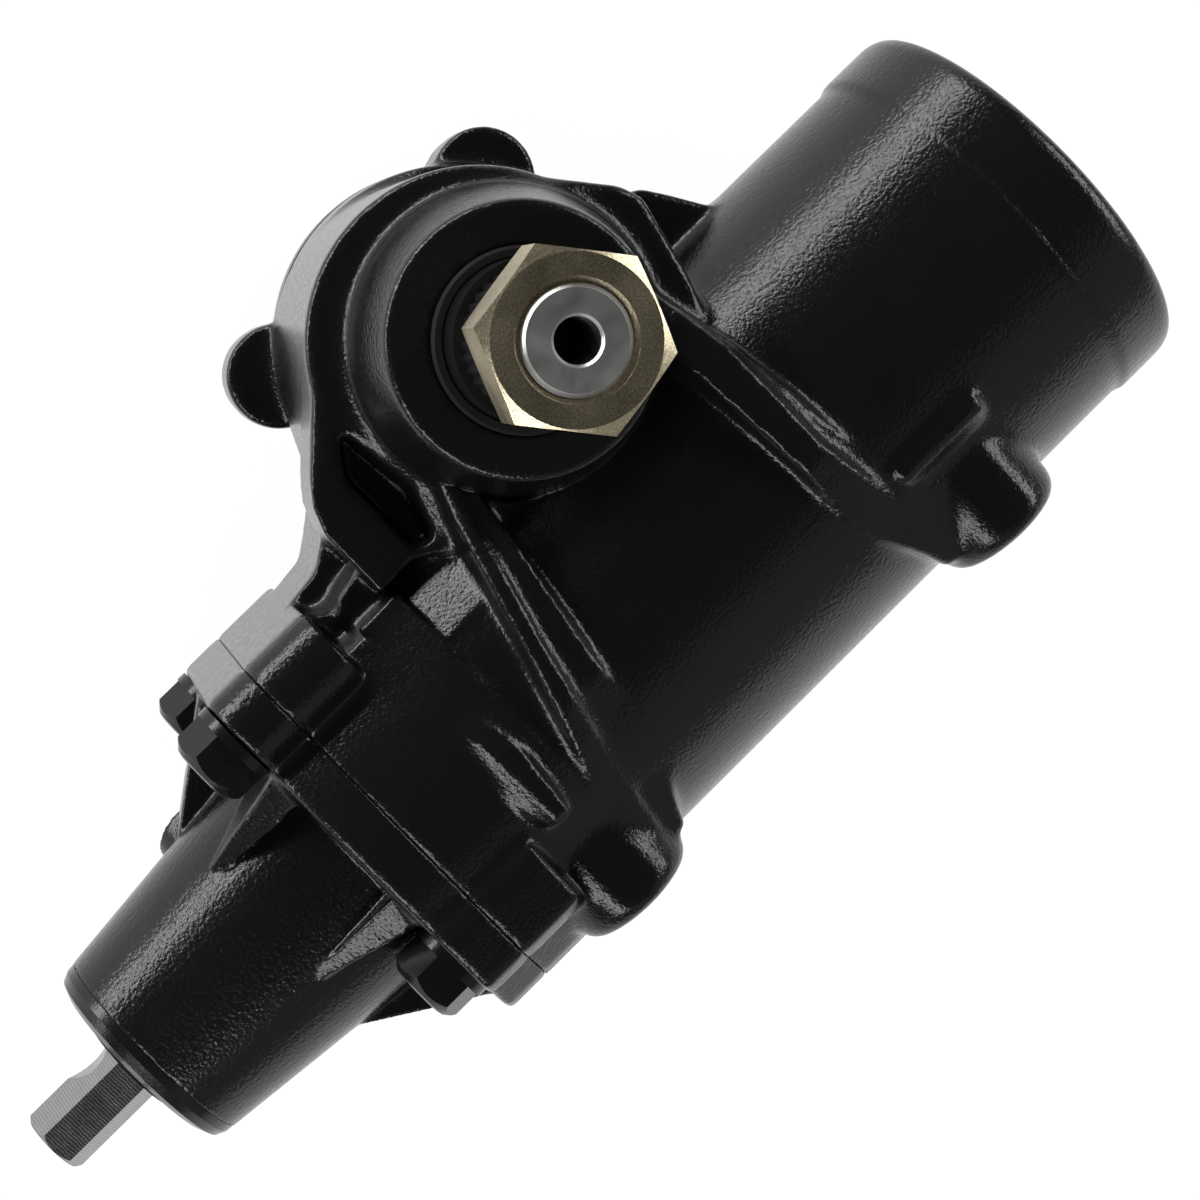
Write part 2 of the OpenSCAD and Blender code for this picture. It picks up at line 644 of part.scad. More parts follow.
module sector_shaft() color(steel_colour) in_frame() at_sector(0) difference() {
    union() {
        translate([0, 0, journal_end_z]) cylinder(h = -journal_end_z, r = journal_r);
        translate([0, 0, -tooth_w / 2]) linear_extrude(height = tooth_w) sector_outline();
        cylinder(h = shaft_step_z + 2, r = shaft_r);
        translate([0, 0, shaft_step_z]) linear_extrude(height = spline_z - shaft_step_z) spline_outline();
        translate([0, 0, spline_z - 2]) cylinder(h = shaft_end_z - spline_z + 0.6, r = thread_r);
        translate([0, 0, shaft_end_z - 1.4]) cylinder(h = 1.4, r1 = thread_r, r2 = thread_r - 1.2);
    }
    translate([0, 0, journal_end_z - slop]) cylinder(h = 40, r = adjuster_r + 2.4);
    // centre hole with a small chamfer
    translate([0, 0, shaft_end_z - 45]) cylinder(h = 50, r = centre_hole_r);
    translate([0, 0, shaft_end_z - 0.8]) cylinder(h = 1.6, r1 = centre_hole_r, r2 = centre_hole_r + 1.6);
}

module pitman_nut() color(zinc_colour) in_frame() at_sector(nut_z) difference() {
    intersection() {
        rotate(9.8) linear_extrude(height = nut_h) hexagon(nut_af);
        rotate_extrude()
            polygon([[0, 0], [nut_af / 2 - 0.6, 0], [nut_af / 2 + 5, 2.6], [nut_af / 2 + 5, nut_h - 2.6],
                [nut_af / 2 - 0.5, nut_h], [0, nut_h]]);
    }
    translate([0, 0, -slop]) cylinder(h = nut_h + 2 * slop, r = thread_r);
    translate([0, 0, nut_h - 1.7]) cylinder(h = 3, r1 = thread_r, r2 = thread_r + 3);
}

module rack_space() {
    top = rack_y + 14;
    low = rack_root_y;
    half = tooth_pitch / 4;
    low_half = half - (rack_y - low) * tan(tooth_angle);
    top_half = half + (top - rack_y) * tan(tooth_angle);
    polygon([[-low_half, low], [low_half, low], [top_half, top], [-top_half, top]]);
}

module rack_piston() color(steel_colour) in_frame() difference() {
    rod_x(piston_l_x, piston_r_x, piston_r);
    rod_x(piston_l_x - slop, piston_plug_x + slop, worm_hole_r);
    rod_x(-ball_zone, ball_zone, ball_bore_r);
    rod_x(piston_plug_x, piston_r_x + slop, piston_plug_r);
    tube_x(piston_r_x - 12, piston_r_x - 8, piston_r + slop, piston_r - 4);
    for (i = [-1 : 1]) translate([i * tooth_pitch, 0, -60]) linear_extrude(height = 120) rack_space();
    // milled seat and holes of the ball return guide
    translate([-guide_l / 2 - 4, -guide_w / 2 - 2, -piston_r - slop])
        cube([guide_l + 8, guide_w + 4, piston_r + slop + guide_z + 2]);
    for (x = [-guide_hole_x, guide_hole_x]) translate([x, 0, guide_z - 4]) cylinder(h = 30, r = guide_hole_r);
}

module piston_ring() color(rubber_colour) in_frame()
    tube_x(piston_r_x - 12, piston_r_x - 8, bore_r - run_fit / 2, piston_r - 4);

module piston_plug() color(steel_colour) in_frame() difference() {
    rod_x(piston_plug_x, piston_r_x, piston_plug_r);
    along_x(piston_r_x - 6) linear_extrude(height = 8) hexagon(14);
}

module ball_return_guide() color(steel_colour) in_frame() {
    translate([-guide_l / 2, -guide_w / 2, guide_z]) cube([guide_l, guide_w, 2]);
    along_x(1 - guide_l / 2) translate([2 - guide_z, 0, 0]) cylinder(h = guide_l - 2, r = guide_pipe_r);
    for (x = [-guide_hole_x, guide_hole_x]) translate([x, 0, guide_z - 2]) cylinder(h = 18, r = guide_hole_r);
}

module recirculating_balls() color(steel_colour) in_frame() along_x(0)
    for (i = [0 : ball_count - 1]) let (a = 30 * (i - (ball_count - 1) / 2))
        translate([ball_pitch_r * cos(a), ball_pitch_r * sin(a), a / 360 * worm_lead])
            sphere(r = ball_r, $fn = 32);

// Cross section of the worm: the ball track covers part of the turn because its lead is short
function track_r(a) = let (s = a / 360 * worm_lead)
    abs(s) < groove_r ? min(worm_r, ball_pitch_r - sqrt(groove_r * groove_r - s * s)) : worm_r;

module worm_outline() {
    polygon([for (i = [0 : 29]) let (a = 12 * i - 180) [track_r(a) * cos(a), track_r(a) * sin(a)]]);
}

module worm_shaft() color(steel_colour) in_frame() {
    difference() {
        union() {
            along_x(-thread_zone) rotate(-thread_zone / worm_lead * 360)
                linear_extrude(height = 2 * thread_zone, twist = -2 * thread_zone / worm_lead * 360,
                    slices = 108, $fn = 12) worm_outline();
            rod_x(-thread_zone, worm_flange_x, worm_r - 1);
            rod_x(thread_zone, thread_zone + 4, 10);
            rod_x(worm_flange_x, worm_flange_x - worm_flange_t, worm_flange_r);
            rod_x(worm_flange_x - worm_flange_t, head_x, head_r);
        }
        rod_x(head_x - slop, worm_flange_x, torsion_r);
        translate([pin_x, 0, -30]) cylinder(h = 60, r = pin_r);
    }
}

module valve_sleeve() color(steel_colour) in_frame() difference() {
    rod_x(sleeve_l_x + 1, sleeve_x, sleeve_r);
    rod_x(sleeve_l_x - slop, head_x, spool_r + run_fit);
    rod_x(head_x - slop, sleeve_x + slop, head_r);
    for (i = [0 : 3]) tube_x(sleeve_x - 16 - 18 * i, sleeve_x - 18.5 - 18 * i, sleeve_r + slop, sleeve_r - 2);
    for (i = [0 : 2], a = [0 : 90 : 270]) translate([sleeve_x - 26 - 18 * i, 0, 0]) rotate([a + 45, 0, 0])
        translate([0, 0, 5]) cylinder(h = 30, r = 2.5);
    translate([pin_x, 0, -30]) cylinder(h = 60, r = pin_r);
}

module sleeve_rings() color(rubber_colour) in_frame()
    for (i = [0 : 3])
        tube_x(sleeve_x - 16 - 18 * i, sleeve_x - 18.5 - 18 * i, sleeve_r + run_fit / 2, sleeve_r - 2);

module torsion_bar() color(steel_colour) in_frame() {
    rod_x(head_x, worm_flange_x, torsion_r);
    rod_x(head_x, tip_x + 12, torsion_r - 0.6);
    rod_x(tip_x + 12, tip_x + 24, torsion_r);
}

module drive_pin() color(steel_colour) in_frame() difference() {
    translate([pin_x, 0, -sleeve_r + 0.6]) cylinder(h = 2 * sleeve_r - 1.2, r = pin_r);
    rod_x(sleeve_x - 10, sleeve_x, torsion_r);
}

module input_shaft() color(steel_colour) in_frame() difference() {
    union() {
        rod_x(sleeve_l_x + 1, head_x - 0.5, spool_r);
        rod_x(sleeve_l_x + 2, seal_lip_x - 0.5, stub_r);
        intersection() {
            along_x(tip_x) rotate(90) linear_extrude(height = seal_lip_x - tip_x) hexagon(hex_af);
            along_x(tip_x) cylinder(h = 60, r1 = hex_af / 2, r2 = hex_af / 2 + 60);
        }
    }
    rod_x(tip_x + 12, head_x + slop, torsion_r + run_fit);
    // pinch bolt groove
    translate([-235, 22.2, -30]) cylinder(h = 60, r = 14);
}

gear_housing();
valve_housing();
valve_housing_bolts();
valve_joint_oring();
input_end_cap();
input_seal();
input_bearing();
worm_thrust_bearings();
end_plug();
end_plug_oring();
end_plug_snap_ring();
side_cover();
side_cover_gasket();
side_cover_bolts();
adjuster_screw();
adjuster_locknut();
cover_bushing();
sector_bearing();
sector_seal();
sector_dust_boot();
sector_shaft();
pitman_nut();
rack_piston();
piston_ring();
piston_plug();
ball_return_guide();
recirculating_balls();
worm_shaft();
valve_sleeve();
sleeve_rings();
torsion_bar();
drive_pin();
input_shaft();
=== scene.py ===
import math
import bpy
import numpy as np
from mathutils import Matrix, Vector


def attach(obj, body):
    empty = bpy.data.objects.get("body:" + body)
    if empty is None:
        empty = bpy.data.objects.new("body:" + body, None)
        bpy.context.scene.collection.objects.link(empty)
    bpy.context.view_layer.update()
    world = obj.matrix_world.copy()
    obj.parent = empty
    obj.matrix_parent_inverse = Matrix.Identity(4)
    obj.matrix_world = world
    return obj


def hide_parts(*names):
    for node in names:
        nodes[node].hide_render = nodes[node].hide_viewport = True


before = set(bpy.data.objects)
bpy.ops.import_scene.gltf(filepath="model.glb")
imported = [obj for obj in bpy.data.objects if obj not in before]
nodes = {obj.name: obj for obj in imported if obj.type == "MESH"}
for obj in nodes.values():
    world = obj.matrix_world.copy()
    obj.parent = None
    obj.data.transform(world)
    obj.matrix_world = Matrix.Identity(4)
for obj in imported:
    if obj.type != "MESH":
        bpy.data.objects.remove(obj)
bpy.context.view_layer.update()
print("frame loaded:", len(nodes), "nodes")

# lengths are in metres, in the frame of the model, and angles in degrees

# places on the gearbox that several pieces share
gearbox = {
    "wormY": 0.0640, "wormZ": -0.0360,        # worm axis, along X
    "sectorX": 0.00435, "sectorY": 0.1485,    # sector axis, along Z
    "jointX": -0.11505,                       # face between the two housings
    "capX": -0.21385,                         # seam of the end cap
    "rimX": 0.16135,                          # open end of the cylinder
    "stepX": -0.0685,                         # step of the cylinder behind the joint
    "noseZ": 0.0431,                          # face round the sector shaft
    "shaftZ": 0.1186,                         # bare end of the sector shaft
    "coverZ": -0.0980,                        # seat of the side cover's gasket
    "gasket": 0.0008,
    "mountY": 0.0,                            # faces that bolt to the frame
}

# camera of the photograph
camera = {
    "lens": 89.71, "sensor": 36.0, "near": 0.05, "far": 60.0,
    "right": (0.70990, -0.67470, 0.20200),
    "forward": (0.08670, -0.20080, -0.97580),
    "place": (-0.10295, 0.24980, 0.86170),
}


def addToScene(obj):
    bpy.context.scene.collection.objects.link(obj)


def addCamera(s):
    data = bpy.data.cameras.new("photoCamera")
    data.lens = s["lens"]
    data.sensor_width = s["sensor"]
    data.sensor_fit = "HORIZONTAL"
    data.clip_start = s["near"]
    data.clip_end = s["far"]
    cam = bpy.data.objects.new("photoCamera", data)
    addToScene(cam)
    right = Vector(s["right"]).normalized()
    back = (-Vector(s["forward"])).normalized()
    up = back.cross(right).normalized()
    right = up.cross(back).normalized()
    turn = Matrix((right, up, back)).transposed().to_4x4()
    cam.matrix_world = Matrix.Translation(Vector(s["place"])) @ turn
    bpy.context.scene.camera = cam


addCamera(camera)
print("camera placed")


# small helpers for node materials
noiseKinds = {"fine": (2.0, 0.5), "cloudy": (3.0, 0.6), "patchy": (4.0, 0.65)}   # detail, roughness
noiseSpan = (0.3, 0.7)                              # most of a noise lies between these values
waveRepeat = 0.314                                  # a wave texture of scale 1 repeats after this length
mixSockets = {"RGBA": (6, 7, 2), "FLOAT": (2, 3, 0)}                             # A, B and the result


def newMaterial(name):
    mat = bpy.data.materials.new(name)
    mat.use_nodes = True
    tree = mat.node_tree
    return mat, tree, tree.nodes["Principled BSDF"]


def addNode(tree, kind, **values):
    node = tree.nodes.new(kind)
    for key, value in values.items():
        setattr(node, key, value)
    return node


def noise(tree, scale, kind):
    place = addNode(tree, "ShaderNodeTexCoord")
    node = addNode(tree, "ShaderNodeTexNoise")
    node.inputs["Scale"].default_value = scale
    node.inputs["Detail"].default_value, node.inputs["Roughness"].default_value = noiseKinds[kind]
    tree.links.new(place.outputs["Object"], node.inputs["Vector"])
    return node.outputs["Fac"]


def ramp(tree, source, low, high, fromLow, fromHigh):
    node = addNode(tree, "ShaderNodeMapRange")
    node.inputs["From Min"].default_value = fromLow
    node.inputs["From Max"].default_value = fromHigh
    node.inputs["To Min"].default_value = low
    node.inputs["To Max"].default_value = high
    tree.links.new(source, node.inputs["Value"])
    return node.outputs["Result"]


def mixed(tree, kind, factor, a, b):
    node = addNode(tree, "ShaderNodeMix", data_type=kind)
    first, second, result = mixSockets[kind]
    tree.links.new(factor, node.inputs[0])
    for index, value in ((first, a), (second, b)):
        if isinstance(value, bpy.types.NodeSocket):
            tree.links.new(value, node.inputs[index])
        else:
            node.inputs[index].default_value = value
    return node.outputs[result]


def twoTone(tree, factor, s):
    return mixed(tree, "RGBA", factor, (*s["dark"], 1.0), (*s["pale"], 1.0))


def roughFrom(tree, source, s):
    return ramp(tree, source, s["roughLow"], s["roughHigh"], *noiseSpan)


def bump(tree, height, strength, distance, before=None):
    node = addNode(tree, "ShaderNodeBump")
    node.inputs["Strength"].default_value = strength
    node.inputs["Distance"].default_value = distance
    tree.links.new(height, node.inputs["Height"])
    if before is not None:
        tree.links.new(before, node.inputs["Normal"])
    return node.outputs["Normal"]


def connectShader(tree, shader, colour, rough, normal):
    tree.links.new(colour, shader.inputs["Base Color"])
    tree.links.new(rough, shader.inputs["Roughness"])
    tree.links.new(normal, shader.inputs["Normal"])


# gloss black paint over sand cast iron
castPaint = {
    "dark": (0.0040, 0.0041, 0.0046), "pale": (0.0068, 0.0069, 0.0074),
    "grainScale": 860.0, "grainDepth": 0.00040, "grainStrength": 0.50,
    "waveScale": 210.0, "waveDepth": 0.00040, "waveStrength": 0.12,
    "cloudScale": 38.0, "roughLow": 0.16, "roughHigh": 0.26, "gloss": 0.35,
}

# smoother paint on machined and turned black pieces
smoothPaint = dict(castPaint, grainScale=1300.0, grainDepth=0.00012, grainStrength=0.35,
                   waveStrength=0.05, roughLow=0.19, roughHigh=0.27)


def makeCastPaint(name, s):
    mat, tree, shader = newMaterial(name)
    grain = noise(tree, s["grainScale"], "fine")
    wave = noise(tree, s["waveScale"], "fine")
    cloud = noise(tree, s["cloudScale"], "cloudy")
    swell = bump(tree, wave, s["waveStrength"], s["waveDepth"])
    normal = bump(tree, grain, s["grainStrength"], s["grainDepth"], swell)
    connectShader(tree, shader, twoTone(tree, cloud, s), roughFrom(tree, grain, s), normal)
    shader.inputs["Specular IOR Level"].default_value = s["gloss"]
    return mat


# pale yellow zinc on the large nut, speckled by its grain
yellowZinc = {
    "dark": (0.40, 0.34, 0.22), "pale": (0.76, 0.67, 0.48), "speckSpan": (0.35, 0.70),
    "grainScale": 1500.0, "grainDepth": 0.00020, "grainStrength": 0.50,
    "cloudScale": 60.0, "roughLow": 0.26, "roughHigh": 0.36,
}

# ground and turned steel, with no specks
turnedSteel = {
    "dark": (0.46, 0.46, 0.45), "pale": (0.54, 0.54, 0.53), "speckSpan": None,
    "grainScale": 1100.0, "grainDepth": 0.00006, "grainStrength": 0.30,
    "cloudScale": 60.0, "roughLow": 0.36, "roughHigh": 0.46,
}

bronzeMetal = dict(turnedSteel, dark=(0.42, 0.28, 0.12), pale=(0.60, 0.42, 0.20))


def makeMetal(name, s):
    mat, tree, shader = newMaterial(name)
    grain = noise(tree, s["grainScale"], "cloudy")
    cloud = noise(tree, s["cloudScale"], "cloudy")
    tone = ramp(tree, grain, 0.0, 1.0, *s["speckSpan"]) if s["speckSpan"] else cloud
    normal = bump(tree, grain, s["grainStrength"], s["grainDepth"])
    connectShader(tree, shader, twoTone(tree, tone, s), roughFrom(tree, cloud, s), normal)
    shader.inputs["Metallic"].default_value = 1.0
    return mat


# sector shaft: rings left by the lathe on its bare end, black paint below the nut
faceTurned = {
    "dark": turnedSteel["dark"], "pale": turnedSteel["pale"],
    "cloudScale": 90.0, "roughLow": turnedSteel["roughLow"], "roughHigh": turnedSteel["roughHigh"],
    "ringPitch": 0.00045, "ringWobble": 0.6, "ringDepth": 0.00003, "ringStrength": 0.5,
    "bareFrom": 0.0960, "bareFade": 0.0002, "black": (0.0050, 0.0050, 0.0054), "blackRough": 0.30,
}


def makeFaceTurned(name, s):
    mat, tree, shader = newMaterial(name)
    place = addNode(tree, "ShaderNodeTexCoord").outputs["Object"]
    shift = addNode(tree, "ShaderNodeVectorMath", operation="SUBTRACT")
    shift.inputs[1].default_value = (gearbox["sectorX"], gearbox["sectorY"], gearbox["shaftZ"])
    tree.links.new(place, shift.inputs[0])
    rings = addNode(tree, "ShaderNodeTexWave", wave_type="RINGS", rings_direction="Z", wave_profile="SIN")
    rings.inputs["Scale"].default_value = waveRepeat / s["ringPitch"]
    rings.inputs["Distortion"].default_value = s["ringWobble"]
    tree.links.new(shift.outputs["Vector"], rings.inputs["Vector"])
    split = addNode(tree, "ShaderNodeSeparateXYZ")
    tree.links.new(place, split.inputs[0])
    bare = ramp(tree, split.outputs["Z"], 0.0, 1.0, s["bareFrom"], s["bareFrom"] + s["bareFade"])
    cloud = noise(tree, s["cloudScale"], "cloudy")
    colour = mixed(tree, "RGBA", bare, (*s["black"], 1.0), twoTone(tree, cloud, s))
    rough = mixed(tree, "FLOAT", bare, s["blackRough"], roughFrom(tree, cloud, s))
    normal = bump(tree, rings.outputs["Fac"], s["ringStrength"], s["ringDepth"])
    connectShader(tree, shader, colour, rough, normal)
    tree.links.new(bare, shader.inputs["Metallic"])
    return mat


# cutter marks across the hexagon of the input shaft
milledSteel = {
    "dark": (0.23, 0.23, 0.24), "pale": (0.31, 0.31, 0.31),
    "linePitch": 0.00095, "lineDepth": 0.00006, "lineStrength": 0.45,
    "lineWobble": 3.0, "lineDetail": 2.0, "lineDetailScale": 1.4,
    "cloudScale": 160.0, "roughLow": 0.24, "roughHigh": 0.31,
}


def makeMilled(name, s):
    mat, tree, shader = newMaterial(name)
    place = addNode(tree, "ShaderNodeTexCoord").outputs["Object"]
    lines = addNode(tree, "ShaderNodeTexWave", wave_type="BANDS", bands_direction="X", wave_profile="SIN")
    lines.inputs["Scale"].default_value = waveRepeat / s["linePitch"]
    lines.inputs["Distortion"].default_value = s["lineWobble"]
    lines.inputs["Detail"].default_value = s["lineDetail"]
    lines.inputs["Detail Scale"].default_value = s["lineDetailScale"]
    tree.links.new(place, lines.inputs["Vector"])
    marks = lines.outputs["Fac"]
    cloud = noise(tree, s["cloudScale"], "patchy")
    normal = bump(tree, marks, s["lineStrength"], s["lineDepth"])
    connectShader(tree, shader, twoTone(tree, marks, s), roughFrom(tree, cloud, s), normal)
    shader.inputs["Metallic"].default_value = 1.0
    return mat


# seals, gasket and boot
sealRubber = {
    "dark": (0.005, 0.005, 0.005), "pale": (0.009, 0.009, 0.009),
    "grainScale": 900.0, "grainDepth": 0.00010, "grainStrength": 0.3,
    "cloudScale": 80.0, "roughLow": 0.58, "roughHigh": 0.74, "gloss": 0.18,
}

# dark filled plastic of the sliding rings
ringPlastic = dict(sealRubber, dark=(0.030, 0.050, 0.042), pale=(0.045, 0.070, 0.060))


def makeSoft(name, s):
    mat, tree, shader = newMaterial(name)
    grain = noise(tree, s["grainScale"], "fine")
    cloud = noise(tree, s["cloudScale"], "cloudy")
    normal = bump(tree, grain, s["grainStrength"], s["grainDepth"])
    connectShader(tree, shader, twoTone(tree, cloud, s), roughFrom(tree, cloud, s), normal)
    shader.inputs["Specular IOR Level"].default_value = s["gloss"]
    return mat


paints = {
    "cast": makeCastPaint("castPaint", castPaint),
    "smooth": makeCastPaint("smoothPaint", smoothPaint),
    "zinc": makeMetal("yellowZinc", yellowZinc),
    "steel": makeMetal("turnedSteel", turnedSteel),
    "bronze": makeMetal("bronzeMetal", bronzeMetal),
    "shaft": makeFaceTurned("faceTurned", faceTurned),
    "milled": makeMilled("milledSteel", milledSteel),
    "rubber": makeSoft("sealRubber", sealRubber),
    "ring": makeSoft("ringPlastic", ringPlastic),
}
print("materials made:", len(paints))


def paint(obj, key):
    obj.data.materials.clear()
    obj.data.materials.append(paints[key])


# which finish each node of the frame gets
finishes = {
    "cast": ["gear_housing", "valve_housing", "side_cover"],
    "smooth": ["input_end_cap", "end_plug", "valve_housing_bolts", "side_cover_bolts"],
    "zinc": ["pitman_nut", "adjuster_locknut"],
    "shaft": ["sector_shaft"],
    "milled": ["input_shaft"],
    "steel": ["input_bearing", "worm_thrust_bearings", "end_plug_snap_ring", "adjuster_screw",
              "sector_bearing", "rack_piston", "piston_plug", "ball_return_guide",
              "recirculating_balls", "worm_shaft", "valve_sleeve", "torsion_bar", "drive_pin"],
    "bronze": ["cover_bushing"],
    "rubber": ["valve_joint_oring", "input_seal", "end_plug_oring", "side_cover_gasket",
               "sector_seal", "sector_dust_boot"],
    "ring": ["piston_ring", "sleeve_rings"],
}
for key, names in finishes.items():
    for name in names:
        paint(nodes[name], key)
print("frame painted")


# castings: a fine skin over the CAD solid, with full fillets in the hollows and tighter edges
# rounds: smoothing turns, even: the first of them that round all over, edge: share left for an edge
castSkins = {
    "gear_housing": {"voxel": 0.00095, "rounds": 34, "even": 3, "keep": 0.40, "edge": 0.18,
                     "lugEdge": 0.35, "shoulderEdge": 0.45, "flangeEdge": 0.25},
    "valve_housing": {"voxel": 0.00080, "rounds": 44, "even": 4, "keep": 0.50, "edge": 0.20,
                      "flangeEdge": 0.35},
    "side_cover": {"voxel": 0.00120, "rounds": 16, "even": 2, "keep": 0.35, "edge": 0.25},
}
smoothing = {"step": 0.5, "normalsEvery": 6}


def remeshed(source, voxel):
    temp = bpy.data.objects.new("skinTemp", source.data.copy())
    addToScene(temp)
    mod = temp.modifiers.new("voxels", "REMESH")
    mod.mode = "VOXEL"
    mod.voxel_size = voxel
    mod.use_smooth_shade = True
    bpy.context.view_layer.update()
    mesh = bpy.data.meshes.new_from_object(temp.evaluated_get(bpy.context.evaluated_depsgraph_get()))
    bpy.data.objects.remove(temp)
    return mesh


def readPoints(mesh):
    co = np.zeros(len(mesh.vertices) * 3)
    mesh.vertices.foreach_get("co", co)
    return co.reshape(-1, 3)


def writePoints(mesh, co):
    mesh.vertices.foreach_set("co", co.ravel())
    mesh.update()


def readNormals(mesh):
    normals = np.zeros(len(mesh.vertices) * 3)
    mesh.vertex_normals.foreach_get("vector", normals)
    return normals.reshape(-1, 3)


def sectorRadius(co):
    return np.hypot(co[:, 0] - gearbox["sectorX"], co[:, 1] - gearbox["sectorY"])


def between(values, low, high):
    return (values > low) & (values < high)


def soften(mesh, s, co, freedom, edge):
    pairs = np.zeros(len(mesh.edges) * 2, int)
    mesh.edges.foreach_get("vertices", pairs)
    a, b = pairs[0::2], pairs[1::2]
    n = len(co)
    count = np.maximum(np.bincount(np.concatenate([a, b]), minlength=n), 1)[:, None]
    for turn in range(s["rounds"]):
        if turn % smoothing["normalsEvery"] == 0:
            writePoints(mesh, co)
            normals = readNormals(mesh)
        sums = [np.bincount(a, co[b, k], n) + np.bincount(b, co[a, k], n) for k in range(3)]
        step = np.stack(sums, 1) / count - co
        hollow = (step * normals).sum(1) > 0      # the mean of the neighbours lies outside
        gain = np.where(hollow, 1.0, edge)
        if turn < s["even"]:
            gain = np.ones(n)
        co += smoothing["step"] * freedom * gain[:, None] * step
    writePoints(mesh, co)


# faces and lines that were cut after casting
machined = {
    "flat": 0.0004, "fade": 0.0016,                                     # a plane holds, then lets go
    "collarFrom": 0.030, "collarTo": 0.008, "collarR": 0.056,           # back from the open end
    "stepHalf": 0.004, "stepOut": 0.02, "noseClear": 0.070, "crisp": 0.12,
    "cylinderR": 0.053, "shaftR": 0.0335,                               # bores stay as they are
}


def machinedFreedom(co, node):
    # 1 where the casting is free to round over, along each axis; a cut face stays in its plane
    s = machined
    free = np.ones(co.shape)
    x = co[:, 0]
    wormR = np.hypot(co[:, 1] - gearbox["wormY"], co[:, 2] - gearbox["wormZ"])
    sectorR = sectorRadius(co)
    cuts = {
        "gear_housing": [(0, gearbox["jointX"]), (1, gearbox["mountY"]), (2, gearbox["coverZ"])],
        "valve_housing": [(0, gearbox["jointX"]), (0, gearbox["capX"])],
        "side_cover": [(2, gearbox["coverZ"] - gearbox["gasket"])],
    }[node]
    for axis, place in cuts:
        off = np.abs(co[:, axis] - place)
        free[:, axis] = np.minimum(free[:, axis], np.clip((off - s["flat"]) / s["fade"], 0.0, 1.0))
    if node == "gear_housing":
        # the turned collar at the open end and the step behind the joint keep their lines
        collar = between(x, gearbox["rimX"] - s["collarFrom"], gearbox["rimX"] - s["collarTo"])
        collar &= wormR > s["collarR"]
        step = np.abs(x - gearbox["stepX"]) < s["stepHalf"]
        step &= co[:, 1] > gearbox["wormY"] + s["stepOut"]
        free[(collar | step) & (sectorR > s["noseClear"])] *= s["crisp"]
    if node != "side_cover":
        free[(wormR < s["cylinderR"]) | (sectorR < s["shaftR"])] = 0.0
    return free


# flat saddle between the joint and the step, the tilted patch beside it, and the draft of the nose
# from and to are along X, inner and outer along Y from the worm axis, above is up from the worm axis
saddle = {"from": -0.0952, "to": -0.0685, "inner": 0.0319, "outer": 0.0525, "above": 0.025,
          "top": 0.0575, "tilt": 29.0}
patch = {"from": -0.0685, "to": -0.0490, "inner": 0.0345, "outer": 0.0545, "above": 0.025,
         "reach": 0.0645, "tilt": 41.5}
nose = {"top": 0.0391, "draft": 0.20, "innerR": 0.037, "outerR": 0.048, "from": 0.0009, "to": 0.031}


def addCastFlats(co):
    v, w = co[:, 1] - gearbox["wormY"], co[:, 2] - gearbox["wormZ"]

    def zone(s):
        return between(co[:, 0], s["from"], s["to"]) & between(v, s["inner"], s["outer"]) & (w > s["above"])

    line = saddle["top"] - (v - saddle["inner"]) * math.tan(math.radians(saddle["tilt"]))
    raised = np.where(zone(saddle), np.maximum(w, line), w)
    lean = np.arctan2(v, w) - math.radians(patch["tilt"])
    out = np.maximum(patch["reach"] / np.cos(lean) / np.hypot(v, w), 1.0)
    grow = np.where(zone(patch), out, 1.0)
    co[:, 1] = gearbox["wormY"] + v * grow
    co[:, 2] = gearbox["wormZ"] + raised * grow


def addNoseDraft(co, s):
    r, below = sectorRadius(co), gearbox["noseZ"] - co[:, 2]
    wall = between(r, s["innerR"], s["outerR"]) & between(below, s["from"], s["to"])
    grow = np.where(wall, np.maximum((s["top"] + s["draft"] * below) / r, 1.0), 1.0)
    for axis, centre in ((0, gearbox["sectorX"]), (1, gearbox["sectorY"])):
        co[:, axis] = centre + (co[:, axis] - centre) * grow


# where the corners are fuller than on the ribs: lugs up to a height, the shoulder round the nose,
# and the flanges by their distance from the joint
fullCorners = {"lugTo": 0.040, "shoulderR": (0.043, 0.066), "shoulderZ": (-0.014, 0.013),
               "flange": (0.003, 0.022)}


def edgeRounding(co, s):
    edge = np.full(len(co), s["edge"])
    if "lugEdge" in s:
        edge[co[:, 1] < fullCorners["lugTo"]] = s["lugEdge"]
    if "shoulderEdge" in s:
        shoulder = between(sectorRadius(co), *fullCorners["shoulderR"])
        edge[shoulder & between(co[:, 2], *fullCorners["shoulderZ"])] = s["shoulderEdge"]
    if "flangeEdge" in s:
        edge[between(np.abs(co[:, 0] - gearbox["jointX"]), *fullCorners["flange"])] = s["flangeEdge"]
    return edge


def addSkin(node, s):
    mesh = remeshed(nodes[node], s["voxel"])
    co = readPoints(mesh)
    if node == "gear_housing":
        addCastFlats(co)
        addNoseDraft(co, nose)
    soften(mesh, s, co, machinedFreedom(co, node), edgeRounding(co, s))
    skin = bpy.data.objects.new(node + "_skin", mesh)
    addToScene(skin)
    thin = skin.modifiers.new("thin", "DECIMATE")
    thin.ratio = s["keep"]
    mesh.shade_smooth()
    paint(skin, "cast")
    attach(skin, "housing")
    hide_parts(node)
    print("skin on", node, len(mesh.vertices), "points")


for node, s in castSkins.items():
    addSkin(node, s)


